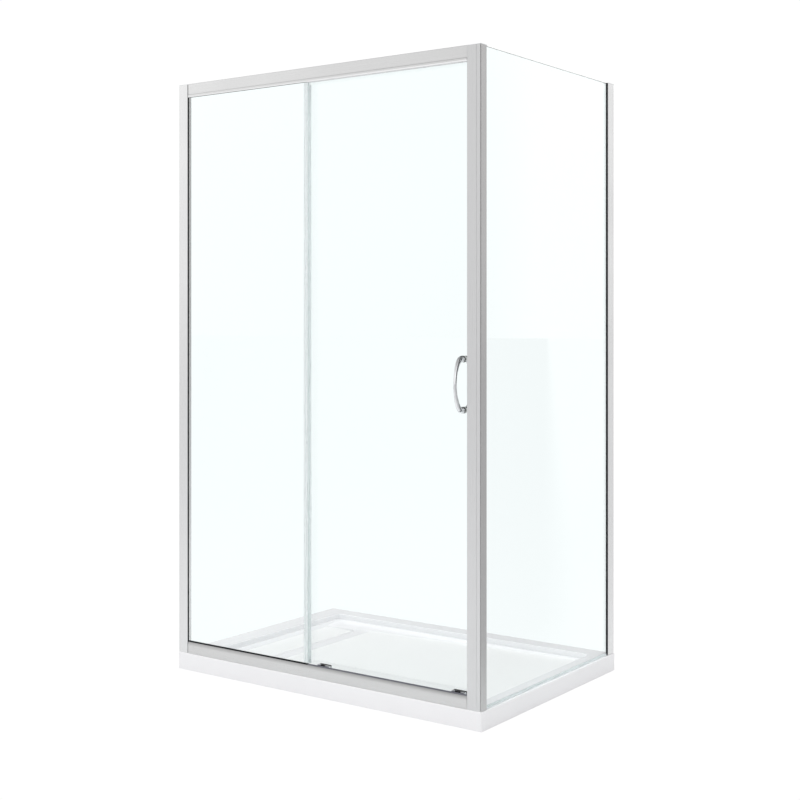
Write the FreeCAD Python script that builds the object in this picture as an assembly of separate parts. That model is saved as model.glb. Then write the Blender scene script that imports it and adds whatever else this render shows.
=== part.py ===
import FreeCAD, Part
import math
import os

V = FreeCAD.Vector

# Sliding-door shower enclosure on a low rectangular tray, for the corner of a
# room.  Millimetres.  Origin: middle of the tray's underside.  +Z up, +X to the
# right along the sliding-door front, +Y from the front to the back wall.  The
# room's walls stand at X = -600 and Y = +400.

# ---------------------------------------------------------------- dimensions
TRAY_L = 1200.0          # tray length along X
TRAY_W = 800.0           # tray width along Y
TRAY_H = 55.0            # tray rim height
FRAME_TOP = 1930.0       # top of rails and posts
GLASS = 6.0              # toughened glass thickness
PROFILE_D = 35.0         # depth of rails, corner post and left jamb, front to back
REAR_D = 20.0            # depth of the rear jamb, right to left

YF = -397.0              # front plane of the frame
YB = YF + PROFILE_D      # back plane of rails and posts
XR = 596.0               # right plane of the frame
XW = -TRAY_L / 2         # left wall
YW = TRAY_W / 2          # back wall

PROFILE_TOP = FRAME_TOP - 1.5     # aluminium ends under 1.5 mm caps
JAMB_FACE = 39.0         # visible face of a wall jamb
JAMB_WALL = 1.5

RAIL_X0 = -558.5         # left end of both rails
RAIL_X1 = 548.2          # right end of both rails
TOP_RAIL_Z0 = 1886.0
BOT_RAIL_Z1 = 92.5

FIX_Y0 = -393.4          # fixed glass, front face
FIX_X0 = -574.5
FIX_X1 = -44.0
FIX_Z0 = 62.0
FIX_Z1 = 1922.0

DOOR_Y0 = -373.0         # sliding glass, front face
DOOR_X0 = -66.0
DOOR_X1 = 566.0
DOOR_Z0 = 78.0
DOOR_Z1 = 1920.0
DOOR_TRAVEL = 480.0      # the door slides this far towards -X

SIDE_X1 = 591.0          # side glass, outer face
SIDE_Y0 = -373.2
SIDE_Y1 = 374.5
SIDE_Z0 = 57.0
SIDE_Z1 = 1928.0

POST_X0 = 548.7          # corner post, left edge of its front face
POST_X1 = 593.6
SIDE_PROFILE_YE = -367.2 # rear end of the side profile's outer wall

BEAD_Y = -379.5          # centre of the track beads, front to back
BEAD_W = 3.0
TOP_TRACK_Z = 1893.6     # top face of the upper ledge
TOP_BEAD_Z = 1896.2      # crest of the upper bead
LOW_TRACK_Z = 81.0       # underside of the lower ledge
LOW_BEAD_Z = 78.4        # crest of the lower bead, which points down
LEDGE_T = 2.4
LEDGE_Y1 = -377.2

TOP_WHEEL_R = 10.5       # running radius in the groove
TOP_WHEEL_FLANGE = 12.0
LOW_WHEEL_R = 7.0
LOW_WHEEL_FLANGE = 8.8
WHEEL_Y0 = -382.6
WHEEL_Y1 = -376.4
WHEEL_GAP = 0.3
TOP_AXLE_Z = TOP_BEAD_Z + WHEEL_GAP + TOP_WHEEL_R
LOW_AXLE_Z = LOW_BEAD_Z - WHEEL_GAP - LOW_WHEEL_R
TOP_HANGERS = (24.0, 476.0)
HANGER_PITCH = 44.0
LOW_GUIDES = (8.0, 508.0)
RELEASE_TRAVEL = 4.5

HANDLE_X = 520.0
HANDLE_Z = 969.8
HANDLE_PITCH = 145.5     # between the two fixing holes
HANDLE_OUT = 46.2        # overall projection from the glass

RIM_LEFT = 80.0
RIM_RIGHT = 66.0
RIM_SIDE = 63.0
RECESS_Z = 37.0          # foot of the recess wall
PLANE_LEFT_Z = 31.5      # sloping floor at X = -312
PLANE_RIGHT_Z = 36.5     # sloping floor at X = +505
WELL = (-480.0, -380.0, -205.0, 205.0)
WELL_Z = 12.0
COVER_SEAT_Z = 22.0
COVER_POCKET = (-497.0, -363.5, -238.0, 238.0)
COVER = (-495.0, -367.5, -236.0, 236.0)
COVER_TOP_Z = 31.0
WASTE_X = -431.0
WASTE_R = 45.0

CHANNEL_HOLE_Z = (197.5, 997.5, 1797.5)
JAMB_SCREW_Z = (150.0, 930.0, 1850.0)

os.makedirs("parts", exist_ok=True)


# ------------------------------------------------------------------ helpers
def box(x0, x1, y0, y1, z0, z1):
    return Part.makeBox(x1 - x0, y1 - y0, z1 - z0, V(x0, y0, z0))


def cyl(p, d, r, h):
    return Part.makeCylinder(r, h, V(*p), V(*d))


def wire2d(points, place):
    """Closed outline of (a, b) or (a, b, r) corners; r rounds that corner.
    place(a, b) gives the corner's place in space."""
    n = len(points)
    pts = [V(p[0], p[1], 0) for p in points]
    rad = [p[2] if len(p) > 2 else 0.0 for p in points]
    starts, ends, arcs = [], [], []
    for i in range(n):
        p, a, b = pts[i], pts[i - 1], pts[(i + 1) % n]
        if rad[i] <= 0:
            starts.append(p)
            ends.append(p)
            arcs.append(None)
            continue
        u = (a - p).normalize()
        w = (b - p).normalize()
        ang = u.getAngle(w)
        t = rad[i] / math.tan(ang / 2)
        s, e = p + u * t, p + w * t
        mid_dir = (u + w).normalize()
        c = p + mid_dir * (rad[i] / math.sin(ang / 2))
        starts.append(s)
        ends.append(e)
        arcs.append(c - mid_dir * rad[i])
    edges = []
    for i in range(n):
        if arcs[i] is not None:
            edges.append(Part.Arc(place(starts[i].x, starts[i].y), place(arcs[i].x, arcs[i].y), place(ends[i].x, ends[i].y)).toShape())
        j = (i + 1) % n
        if (starts[j] - ends[i]).Length > 1e-6:
            edges.append(Part.LineSegment(place(ends[i].x, ends[i].y), place(starts[j].x, starts[j].y)).toShape())
    return Part.Wire(edges)


def prism_z(points, z0, z1):
    f = Part.Face(wire2d(points, lambda a, b: V(a, b, z0)))
    return f.extrude(V(0, 0, z1 - z0))


def prism_x(points, x0, x1):
    f = Part.Face(wire2d(points, lambda a, b: V(x0, a, b)))
    return f.extrude(V(x1 - x0, 0, 0))


def prism_y(points, y0, y1):
    f = Part.Face(wire2d(points, lambda a, b: V(a, y0, b)))
    return f.extrude(V(0, y1 - y0, 0))


def rbox_z(x0, x1, y0, y1, z0, z1, r):
    return prism_z([(x0, y0, r), (x1, y0, r), (x1, y1, r), (x0, y1, r)], z0, z1)


def turned(profile, centre):
    """Solid turned about an axis along Y through centre (x, z);
    profile is a list of (y, radius)."""
    pts = [V(centre[0] + r, y, centre[1]) for y, r in profile]
    w = Part.makePolygon(pts + [pts[0]])
    return Part.Face(w).revolve(V(centre[0], 0, centre[1]), V(0, 1, 0), 360)


def out(name, *solids):
    flat = []
    for s in solids:
        for q in s.Solids:
            if not q.isValid():
                q = q.removeSplitter()
            if q.Volume < 0:
                q = q.reversed()
            flat.append(q)
    shape = flat[0] if len(flat) == 1 else Part.makeCompound(flat)
    shape.exportStep("parts/" + name + ".step")
    print("%-28s solids %d valid %s volume %.1f cm3" % (name, len(flat), all(q.isValid() for q in flat), sum(q.Volume for q in flat) / 1000))
    return shape


def polyhedron(faces):
    shell = Part.makeShell([Part.Face(Part.makePolygon([V(*p) for p in f] + [V(*f[0])])) for f in faces])
    s = Part.makeSolid(shell)
    if s.Volume < 0:
        s.reverse()
    return s


# --------------------------------------------------------------------- tray
def make_tray():
    L2, W2 = TRAY_L / 2, TRAY_W / 2
    t = rbox_z(-L2, L2, -W2, W2, 0, TRAY_H, 4.0)
    rim_edges = [e for e in t.Edges if all(abs(v.Z - TRAY_H) < 1e-6 for v in e.Vertexes)]
    t = t.makeFillet(2.5, rim_edges)
    # recess inside the rim, with rounded inner corners
    rx0, rx1, ry = -L2 + RIM_LEFT, L2 - RIM_RIGHT, W2 - RIM_SIDE
    recess = rbox_z(rx0, rx1, -ry, ry, RECESS_Z, TRAY_H + 10, 20.0)
    t = t.cut(recess)
    # soft edge where the rim turns down into the recess
    lip = [e for e in t.Edges if all(abs(v.Z - TRAY_H) < 1e-6 for v in e.Vertexes) and e.BoundBox.XMin > rx0 - 1 and e.BoundBox.XMax < rx1 + 1 and e.BoundBox.YMin > -ry - 1 and e.BoundBox.YMax < ry + 1]
    t = t.makeFillet(2.0, lip)
    # standing floor: one plane falling to the drain, with flanks up to the
    # foot of the recess wall, narrow at the right and wide at the drain end
    sl = (PLANE_RIGHT_Z - PLANE_LEFT_Z) / (505.0 + 312.0)

    def pz(x):
        return PLANE_LEFT_Z + (x + 312.0) * sl
    ox0, ox1, oy = rx0 + 6, rx1 - 6, ry - 4
    h = RECESS_Z + 3
    inner = [(-497.0, -238.0), (505.0, -328.0), (505.0, 328.0), (-497.0, 238.0)]
    inner = [(x, y, pz(x)) for x, y in inner]
    k = (-312.0, 272.0)
    a, b, c, d = inner
    kb = (k[0], -k[1], pz(k[0]))
    kt = (k[0], k[1], pz(k[0]))
    oz = RECESS_Z + 0.02
    A, B, C, D = (ox0, -oy, oz), (ox1, -oy, oz), (ox1, oy, oz), (ox0, oy, oz)
    KB, KT = (k[0], -oy, oz), (k[0], oy, oz)
    sunk = polyhedron([
        [a, kb, b, c, kt, d],
        [A, KB, B, C, KT, D],
        [A, KB, kb], [A, kb, a],
        [KB, B, b], [KB, b, kb],
        [B, C, c], [B, c, b],
        [C, KT, kt], [C, kt, c],
        [KT, D, d], [KT, d, kt],
        [D, A, a], [D, a, d],
    ])
    t = t.cut(sunk)
    # pocket for the drain cover, its seat, the well below and the waste hole
    x0, x1, y0, y1 = COVER_POCKET
    t = t.cut(rbox_z(x0, x1, y0, y1, COVER_SEAT_Z, 60, 8.0))
    x0, x1, y0, y1 = WELL
    t = t.cut(rbox_z(x0, x1, y0, y1, WELL_Z, 30, 12.0))
    t = t.cut(cyl((WASTE_X, 0, -1), (0, 0, 1), WASTE_R, 20))
    t = t.cut(cyl((WASTE_X, 0, -1), (0, 0, 1), 75.0, 6.0))
    # ribbed underside
    cols = [(-345, -184), (-172, -8), (8, 150), (162, 304), (316, 458), (470, 580)]
    rows = [(-330, -175), (-163, -8), (8, 163), (175, 330)]
    for cx0, cx1 in cols:
        for cy0, cy1 in rows:
            t = t.cut(rbox_z(cx0, cx1, cy0, cy1, -1, 15.0, 6.0))
    for cx0, cx1 in [(-585, -405), (-393, -213), (-201, -8), (8, 198), (210, 400), (412, 585)]:
        for s in (-1, 1):
            lo, hi = sorted((s * 346.0, s * 386.0))
            t = t.cut(rbox_z(cx0, cx1, lo, hi, -1, 40.0, 6.0))
    return t


tray = make_tray()
out("shower_tray", tray)


def make_cover():
    x0, x1, y0, y1 = COVER
    c = rbox_z(x0, x1, y0, y1, COVER_TOP_Z - 6.0, COVER_TOP_Z, 6.0)
    top = [e for e in c.Edges if all(abs(v.Z - COVER_TOP_Z) < 1e-6 for v in e.Vertexes)]
    c = c.makeFillet(1.2, top)
    c = c.cut(rbox_z(x0 + 14, x1 - 14, y0 + 14, -6, COVER_TOP_Z - 7, COVER_TOP_Z - 3.2, 5.0))
    c = c.cut(rbox_z(x0 + 14, x1 - 14, 6, y1 - 14, COVER_TOP_Z - 7, COVER_TOP_Z - 3.2, 5.0))
    # feet that stand on the seat beside the well
    for fx in (x0 + 7.0,):
        for fy in (y0 + 12.0, -70.0, 70.0, y1 - 12.0):
            c = c.fuse(cyl((fx, fy, COVER_SEAT_Z + 0.02), (0, 0, 1), 5.0, COVER_TOP_Z - 6.0 - COVER_SEAT_Z + 0.5))
    for fy in (y0 + 12.0, y1 - 12.0):
        c = c.fuse(cyl((x1 - 7.0, fy, COVER_SEAT_Z + 0.02), (0, 0, 1), 5.0, COVER_TOP_Z - 6.0 - COVER_SEAT_Z + 0.5))
    # finger notch at the slit
    c = c.cut(cyl((x1 + 6, 0, 20), (0, 0, 1), 13.0, 20))
    return c.removeSplitter()


out("drain_cover", make_cover())


# ------------------------------------------------------- wall jambs, channels
# A jamb is drawn in its own plan (u away from the wall, v from the visible
# face inwards) and then placed at the left wall or at the back wall.
def left_place(u, v, z):
    return V(XW + u, YF + v, z)


def rear_place(u, v, z):
    return V(XR - v, YW - u, z)


def jamb_prism(points, place, z0, z1):
    f = Part.Face(wire2d(points, lambda a, b: place(a, b, z0)))
    return f.extrude(V(0, 0, z1 - z0))


def jamb_outline(g, flange, depth):
    """g: depth of the glass's outer face behind the visible face; flange: reach
    of the pocket's inner flange; depth: overall, away from the visible face."""
    t = JAMB_WALL
    f = g + GLASS + 1.5            # front of the pocket's inner flange
    return [
        (0, 0, 1.0), (JAMB_FACE, 0, 0.9), (JAMB_FACE, t), (24.5, t), (24.5, f),
        (flange, f, 0.4), (flange, f + t, 0.4), (24.5, f + t), (24.5, depth, 1.0),
        (0, depth), (0, depth - t), (23.0, depth - t), (23.0, t), (0, t),
    ]


def jamb_box(place, u0, u1, v0, v1, z0, z1):
    a, b = place(u0, v0, z0), place(u1, v1, z1)
    return box(min(a.x, b.x), max(a.x, b.x), min(a.y, b.y), max(a.y, b.y), z0, z1)


def jamb_cyl(place, u, v0, v1, z, r):
    a, b = place(u, v0, z), place(u, v1, z)
    d = b - a
    return Part.makeCylinder(r, d.Length, a, d)


def channel(place, depth):
    c = jamb_box(place, 0, 20.0, 2.0, depth - 2.0, TRAY_H, 1915.0)
    c = c.cut(jamb_box(place, 1.5, 21.0, 3.5, depth - 3.5, TRAY_H - 1, 1916.0))
    for z in CHANNEL_HOLE_Z:
        a, b = place(-1, depth / 2, z), place(4, depth / 2, z)
        c = c.cut(Part.makeCylinder(3.0, (b - a).Length, a, b - a))
    for z in JAMB_SCREW_Z:
        c = c.cut(jamb_cyl(place, 10.0, depth - 7.0, depth - 1.0, z, 1.95))
    return c


def jamb(place, g, flange, depth):
    j = jamb_prism(jamb_outline(g, flange, depth), place, TRAY_H, PROFILE_TOP)
    for z in JAMB_SCREW_Z:
        j = j.cut(jamb_cyl(place, 10.0, depth - 5.0, depth + 1.0, z, 1.95))
    return j


left_jamb = jamb(left_place, FIX_Y0 - YF, 34.0, PROFILE_D)
SIDE_G = XR - SIDE_X1
rear_jamb = jamb(rear_place, SIDE_G, 36.0, REAR_D)
# screws that hold the rails' end blocks to the left jamb
BLOCK_SCREWS = ((-379.6, 1903.5), (-379.6, 1920.0), (-379.6, 63.3))
for y, z in BLOCK_SCREWS:
    left_jamb = left_jamb.cut(cyl((-578, y, z), (1, 0, 0), 2.1, 4))
out("wall_channel_left", channel(left_place, PROFILE_D))
out("wall_channel_rear", channel(rear_place, REAR_D))
out("jamb_left", left_jamb)
out("jamb_rear", rear_jamb)


def screw_y(place, z, depth):
    """Pan-head self-tapping screw through a jamb and its channel."""
    head = jamb_cyl(place, 10.0, depth, depth + 2.2, z, 3.6)
    rim = [e for e in head.Edges if (e.CenterOfMass - place(10.0, depth + 2.2, z)).Length < 0.6]
    head = head.makeFillet(0.7, rim)
    shank = jamb_cyl(place, 10.0, depth - 10.0, depth + 0.5, z, 1.9)
    slot = jamb_box(place, 9.6, 10.4, depth + 1.4, depth + 3, z - 2.6, z + 2.6)
    slot2 = jamb_box(place, 7.4, 12.6, depth + 1.4, depth + 3, z - 0.4, z + 0.4)
    return head.fuse(shank).cut(slot.fuse(slot2)).removeSplitter()


def screw_cap(place, z, depth):
    a = place(10.0, depth, z)
    b = place(10.0, depth + 4.2, z)
    d = (b - a).normalize()
    prof = [(0.0, 6.2), (2.4, 6.2), (3.6, 5.2), (4.2, 3.4), (4.2, 0.0), (3.0, 0.0), (3.0, 4.2), (0.0, 4.2)]
    side = V(0, 0, 1)
    pts = [a + d * t + side * r for t, r in prof]
    w = Part.makePolygon(pts + [pts[0]])
    return Part.Face(w).revolve(a, d, 360)


JAMBS = ((left_place, PROFILE_D), (rear_place, REAR_D))
out("jamb_screws", *[screw_y(p, z, d) for p, d in JAMBS for z in JAMB_SCREW_Z])
out("screw_caps", *[screw_cap(p, z, d) for p, d in JAMBS for z in JAMB_SCREW_Z])


# --------------------------------------------------------------------- rails
def make_top_rail():
    b0, b1 = BEAD_Y - BEAD_W / 2, BEAD_Y + BEAD_W / 2
    z = TOP_TRACK_Z
    pts = [
        (-396.2, FRAME_TOP, 1.2), (YB, FRAME_TOP, 1.0), (YB, 1916.0, 0.5), (YB - 1.4, 1916.0, 0.5),
        (YB - 1.4, 1928.4), (-384.0, 1928.4), (-384.0, z, 0.5), (b0, z), (b0, TOP_BEAD_Z, 0.9),
        (b1, TOP_BEAD_Z, 0.9), (b1, z), (LEDGE_Y1, z, 0.4), (LEDGE_Y1, z - LEDGE_T, 0.4), (-384.0, z - LEDGE_T, 0.5),
        (-384.0, 1889.0), (-385.4, 1889.0), (-385.4, 1928.4), (-395.0, 1928.4),
        (-395.0, TOP_RAIL_Z0), (-395.6, TOP_RAIL_Z0, 0.2), (-397.0, TOP_RAIL_Z0 + 2.8, 1.6), (-397.0, TOP_RAIL_Z0 + 7.4, 1.2), (-396.2, TOP_RAIL_Z0 + 10.0, 2.0),
    ]
    return prism_x(pts, RAIL_X0, RAIL_X1)


def make_bottom_rail():
    b0, b1 = BEAD_Y - BEAD_W / 2, BEAD_Y + BEAD_W / 2
    z = LOW_TRACK_Z
    pts = [
        (-396.3, TRAY_H, 0.5), (-396.9, 66.0, 30.0), (-397.0, 76.0, 20.0), (-397.0, BOT_RAIL_Z1 - 5.1, 38.0), (-395.7, BOT_RAIL_Z1, 0.3),
        (-395.0, BOT_RAIL_Z1, 0.2), (-395.0, TRAY_H + 1.6), (-385.4, TRAY_H + 1.6), (-385.4, 92.0), (-384.0, 92.0, 0.4),
        (-384.0, z + LEDGE_T, 0.5), (LEDGE_Y1, z + LEDGE_T, 0.4), (LEDGE_Y1, z, 0.4), (b1, z), (b1, LOW_BEAD_Z, 0.9),
        (b0, LOW_BEAD_Z, 0.9), (b0, z), (-384.0, z, 0.5), (-384.0, TRAY_H + 1.6), (YB - 1.4, TRAY_H + 1.6),
        (YB - 1.4, 70.0, 0.5), (YB, 70.0, 0.5), (YB, TRAY_H),
    ]
    return prism_x(pts, RAIL_X0, RAIL_X1)


out("top_rail", make_top_rail())
out("bottom_rail", make_bottom_rail())

# end blocks that key the rails to the left jamb and the corner post
STOP_L = TOP_HANGERS[0] - 34.0 - DOOR_TRAVEL - 0.6      # face of the left stop
STOP_R = TOP_HANGERS[1] + 34.0 + 0.6                    # face of the right stop
STOP_T = 8.0


def block_top(x0, x1):
    b = rbox_z(x0, x1, -383.6, -375.6, TOP_TRACK_Z + 0.5, 1927.9, 0.8)
    b = b.cut(box(x0 - 1, x1 + 1, BEAD_Y - 1.9, BEAD_Y + 1.9, TOP_TRACK_Z, TOP_BEAD_Z + 0.3))
    return b


def block_low(x0, x1, t0, t1):
    b = box(x0, x1, -383.6, -364.4, TRAY_H + 1.9, 69.5)
    if t0 is not None:
        b = b.fuse(box(t0, t1, -372.0, -364.4, TRAY_H + 1.9, 63.0))
    return b


blocks = [
    block_top(-575.3, STOP_L - STOP_T),
    block_top(STOP_R + STOP_T, 577.8),
    block_low(-575.3, -505.0, None, None),
    block_low(549.0, 577.8, 505.0, 549.0),
]
for y, z in BLOCK_SCREWS:
    cut = cyl((-580, y, z), (1, 0, 0), 2.0, 26).fuse(cyl((582, y, z), (-1, 0, 0), 2.0, 22))
    blocks = [b.cut(cut) for b in blocks]
out("rail_end_blocks", *blocks)


def bumper(x0, x1):
    b = rbox_z(x0, x1, -383.0, -376.2, 1898.5, 1920.0, 1.5)
    return b


out("door_stops", bumper(STOP_L - STOP_T, STOP_L), bumper(STOP_R, STOP_R + STOP_T))


# --------------------------------------------------------------- corner post
def make_post():
    t = 1.8
    pts = [
        (POST_X0, YF, 0.8), (580.7, YF), (581.2, YF + 0.6), (581.7, YF), (POST_X1, YF, 1.7), (POST_X1, YF + t), (579.6, YF + t),
        (579.6, YB, 0.5), (562.0, YB, 0.5), (562.0, YB - 1.6, 0.5), (578.0, YB - 1.6), (578.0, YF + t), (POST_X0 + 1.6, YF + t),
        (POST_X0 + 1.6, -388.0, 0.5), (POST_X0, -388.0, 0.5),
    ]
    return prism_z(pts, TRAY_H, PROFILE_TOP)


def make_side_profile():
    s = box(580.2, XR, -394.8, YB, TRAY_H, PROFILE_TOP)
    s = s.fuse(prism_z([(594.4, -396.2, 0.4), (XR, -396.2, 0.9), (XR, -394.0), (594.4, -394.0)], TRAY_H, PROFILE_TOP)).removeSplitter()
    s = s.cut(box(581.8, 594.4, -393.2, -375.6, TRAY_H - 1, PROFILE_TOP + 1))
    s = s.cut(box(581.8, 594.4, -374.0, YB + 1, TRAY_H - 1, PROFILE_TOP + 1))
    s = s.cut(box(594.3, XR + 1, SIDE_PROFILE_YE, YB + 1, TRAY_H - 1, PROFILE_TOP + 1))
    edge = [e for e in s.Edges if abs(e.BoundBox.XMin - XR) < 1e-6 and abs(e.BoundBox.YMin - SIDE_PROFILE_YE) < 1e-6 and e.Length > 1000]
    if edge:
        s = s.makeFillet(0.7, edge)
    return s


post = make_post()
side_profile = make_side_profile()
JOIN_Z = (255.0, 997.0, 1740.0)
for z in JOIN_Z:
    c = cyl((576, -389.5, z), (1, 0, 0), 2.0, 8)
    post = post.cut(c)
    side_profile = side_profile.cut(c)
for y, z in BLOCK_SCREWS:
    post = post.cut(cyl((577, y, z), (1, 0, 0), 2.1, 4))
    side_profile = side_profile.cut(cyl((579.8, y, z), (1, 0, 0), 4.3, 2.2))
out("corner_post", post)
out("side_profile", side_profile)


def screw_x(x_head, direction, y, z, length):
    """Pan-head screw whose head's underside is at x_head; direction is the way
    its shank points."""
    d = V(direction, 0, 0)
    head = Part.makeCylinder(3.5, 2.2, V(x_head, y, z), d * -1)
    shank = Part.makeCylinder(1.9, length, V(x_head, y, z), d)
    x = x_head - direction * 2.2
    cross = box(min(x, x + direction * 0.9), max(x, x + direction * 0.9), y - 2.4, y + 2.4, z - 0.4, z + 0.4)
    cross = cross.fuse(box(min(x, x + direction * 0.9), max(x, x + direction * 0.9), y - 0.4, y + 0.4, z - 2.4, z + 2.4))
    return head.fuse(shank).cut(cross).removeSplitter()


frame_screws = [screw_x(-577.0, 1, y, z, 20.0) for y, z in BLOCK_SCREWS]
frame_screws += [screw_x(579.6, -1, y, z, 17.0) for y, z in BLOCK_SCREWS]
frame_screws += [screw_x(578.0, 1, -389.5, z, 11.0) for z in JOIN_Z]
out("frame_screws", *frame_screws)

# soft strip in the post that the door closes against
strip = prism_z([(574.2, -376.5, 0.8), (578.0, -377.5), (578.0, -364.6), (574.2, -365.6, 0.8)], 72.0, 1893.0)
out("post_bumper_strip", strip)

# ------------------------------------------------------------- profile caps
cap_left = jamb_box(left_place, 0, JAMB_FACE, 0, PROFILE_D, PROFILE_TOP, FRAME_TOP).fuse(jamb_box(left_place, 3.0, 20.0, 4.5, 30.5, 1918.0, PROFILE_TOP))
cap_rear = jamb_box(rear_place, 0, JAMB_FACE, 0, REAR_D, PROFILE_TOP, FRAME_TOP).fuse(jamb_box(rear_place, 3.0, 20.0, 4.5, REAR_D - 4.5, 1918.0, PROFILE_TOP))
cap_post = box(POST_X0, XR, YF, YB, PROFILE_TOP, FRAME_TOP).cut(box(594.4, XR + 1, SIDE_PROFILE_YE, YB + 1, PROFILE_TOP - 1, FRAME_TOP + 1)).fuse(box(582.6, 593.6, -392.4, -376.4, 1918.0, PROFILE_TOP))


def soften_top(s, r):
    e = [e for e in s.Edges if all(abs(v.Z - FRAME_TOP) < 1e-6 for v in e.Vertexes)]
    return s.makeFillet(r, e)


caps = [soften_top(c.removeSplitter(), 0.7) for c in (cap_left, cap_rear, cap_post)]
out("profile_caps", *caps)

# -------------------------------------------------------------- fixed glass
FIX_Y1 = FIX_Y0 + GLASS


def pane(x0, x1, y0, y1, z0, z1, c=0.8):
    """Flat glass with bevelled (arrised) edges."""
    g = box(x0, x1, y0, y1, z0, z1)
    return g.makeChamfer(c, g.Edges)


out("fixed_glass", pane(FIX_X0, FIX_X1, FIX_Y0, FIX_Y1, FIX_Z0, FIX_Z1))

# black rubber round the fixed glass: outer strip with a visible bead, inner wedge
gl = [
    prism_z([(-575.5, -395.5), (-561.0, -395.5), (-561.0, -396.4, 0.5), (-558.7, -396.4, 0.3), (-558.7, FIX_Y0), (-575.5, FIX_Y0)], 58.0, 1926.0),
]
gl[0] = gl[0].fuse(prism_z([(-559.5, -396.2), (-557.7, -396.2, 1.0), (-557.7, FIX_Y0), (-559.5, FIX_Y0)], 97.6, TOP_RAIL_Z0 - 1.1)).removeSplitter()
gl.append(prism_z([(-575.5, FIX_Y1), (-566.5, FIX_Y1), (-566.5, -385.9, 0.6), (-575.5, -385.9)], 64.0, 1920.0))
out("fixed_glass_gasket_left", *gl)

gt = [
    prism_x([(-395.0, 1898.0), (-395.0, 1886.0), (-395.4, 1886.0), (-395.4, 1885.1, 0.6), (FIX_Y0, 1885.1), (FIX_Y0, 1898.0)], -557.5, FIX_X1),
    prism_x([(FIX_Y1, 1892.0), (-385.4, 1892.0), (-385.4, 1918.0), (FIX_Y1, 1918.0)], -556.0, FIX_X1),
]
out("fixed_glass_gasket_top", *gt)
gb = [
    prism_x([(-395.0, 84.0), (-395.0, BOT_RAIL_Z1), (-395.7, BOT_RAIL_Z1, 0.3), (-395.7, 97.2, 0.9), (FIX_Y0, 97.2), (FIX_Y0, 84.0)], -557.5, FIX_X1),
    prism_x([(FIX_Y1, 66.0), (-385.4, 66.0), (-385.4, 91.5), (FIX_Y1, 91.5)], -556.0, FIX_X1),
]
out("fixed_glass_gasket_bottom", *gb)
out("glass_setting_blocks", *[box(x, x + 50.0, -394.6, -385.9, TRAY_H + 1.6, FIX_Z0) for x in (-520.0, -150.0)])


# clear edge seal of the fixed glass, with a fin turned back towards the door
def fixed_edge_seal():
    s = prism_z([
        (-58.9, FIX_Y0 - 0.9, 0.4), (-42.5, FIX_Y0 - 0.9, 0.6), (-42.5, FIX_Y1 + 0.9, 0.4), (-58.9, FIX_Y1 + 0.9, 0.4),
        (-58.9, FIX_Y1), (FIX_X1, FIX_Y1), (FIX_X1, FIX_Y0), (-58.9, FIX_Y0),
    ], 97.6, 1883.7)
    fin = prism_z([(-43.5, FIX_Y1 + 0.4), (-42.5, FIX_Y1 + 0.4), (-42.5, -379.9, 0.3), (-44.5, -379.4, 0.3), (-44.7, -380.3, 0.3), (-43.5, -380.7)], 108.0, 1878.0)
    return s.fuse(fin).removeSplitter()


out("fixed_glass_edge_seal", fixed_edge_seal())

# clip-in strips that close the glass pocket of the rails beside the fixed glass
INF_X0 = -42.0
out("rail_infill_top", prism_x([(-394.9, 1898.0), (-394.9, 1885.9), (-396.0, 1885.9, 0.4), (-396.0, 1883.9, 0.8), (-385.2, 1883.9, 0.8), (-385.2, 1885.9, 0.4), (-385.5, 1885.9), (-385.5, 1898.0), (-386.7, 1898.0), (-386.7, 1887.4), (-393.7, 1887.4), (-393.7, 1898.0)], INF_X0, RAIL_X1))
out("rail_infill_bottom", prism_x([(-394.9, 84.0), (-394.9, BOT_RAIL_Z1 + 0.1), (-395.6, BOT_RAIL_Z1 + 0.1, 0.3), (-395.6, 97.0, 0.7), (-393.9, 97.0, 0.7), (-393.9, 92.2), (-385.5, 92.2, 0.4), (-385.5, 84.0), (-386.7, 84.0), (-386.7, 90.8), (-393.7, 90.8), (-393.7, 84.0)], INF_X0, RAIL_X1))

# --------------------------------------------------------------- side glass
SIDE_X0 = SIDE_X1 - GLASS
out("side_glass", pane(SIDE_X0, SIDE_X1, SIDE_Y0, SIDE_Y1, SIDE_Z0, SIDE_Z1))
out("side_glass_gasket_front",
    prism_z([(SIDE_X1, -374.0), (594.4, -374.0), (594.4, SIDE_PROFILE_YE - 0.6), (592.8, SIDE_PROFILE_YE - 0.1, 0.6), (SIDE_X1, SIDE_PROFILE_YE - 0.6)], 58.0, 1928.0),
    prism_z([(581.8, -374.0), (SIDE_X0, -374.0), (SIDE_X0, -362.6), (583.4, -362.0, 0.8), (581.8, -362.6)], 58.0, 1928.0))
u_in = 24.5
gr_out = jamb_prism([(u_in, JAMB_WALL), (JAMB_FACE, JAMB_WALL), (JAMB_FACE, 0.7, 0.4), (44.8, 0.7, 1.2), (44.8, SIDE_G), (u_in, SIDE_G)], rear_place, 58.0, 1928.0)
gr_in = jamb_prism([(u_in, SIDE_G + GLASS), (33.5, SIDE_G + GLASS), (33.5, SIDE_G + GLASS + 1.5, 0.6), (u_in, SIDE_G + GLASS + 1.5)], rear_place, 60.0, 1920.0)
out("side_glass_gasket_rear", gr_out, gr_in)
side_sill = prism_y([
    (SIDE_X0 - 1.4, TRAY_H, 0.3), (SIDE_X1 + 1.4, TRAY_H, 0.3), (SIDE_X1 + 1.1, 62.5, 0.4), (SIDE_X1, 62.5),
    (SIDE_X1, SIDE_Z0), (SIDE_X0, SIDE_Z0), (SIDE_X0, 62.5), (SIDE_X0 - 1.1, 62.5, 0.4),
], YB + 0.4, 354.8)
out("side_glass_bottom_seal", side_sill)

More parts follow.
